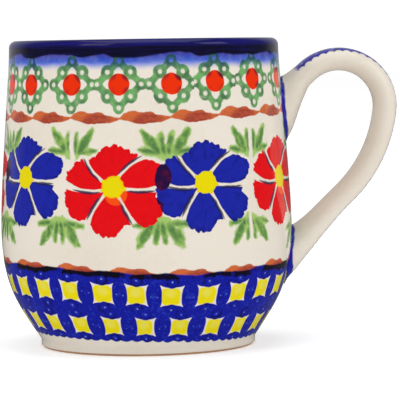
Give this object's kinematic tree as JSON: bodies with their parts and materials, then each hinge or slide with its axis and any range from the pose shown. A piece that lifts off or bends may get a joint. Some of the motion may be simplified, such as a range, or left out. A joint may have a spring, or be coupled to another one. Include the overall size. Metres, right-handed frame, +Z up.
{
  "type": "mug",
  "caption": "Hand-painted stoneware mug with a rounded belly, a narrow foot and a loop handle, glazed inside and out.",
  "frame": {"origin": "centre of the foot, on the plane the mug stands on", "axes": "+Z up along the turning axis, +X out through the handle, +Y across the handle"},
  "size_m": [0.1253, 0.091, 0.0955],
  "materials": {
    "clay": "bare fired stoneware, matte",
    "slip": "bare fired slip, matte",
    "painted_glaze": "gloss, painted pattern under the glaze",
    "liner_glaze": "gloss, cream",
    "handle_glaze": "gloss, cream with painted blue"
  },
  "bodies": {
    "root": {"mug_body": "clay", "handle": "clay", "upper_slip_joint": "slip", "lower_slip_joint": "slip", "outer_glaze": "painted_glaze", "inner_glaze": "liner_glaze", "base_glaze": "liner_glaze", "handle_glaze": "handle_glaze"}
  },
  "joints": []
}
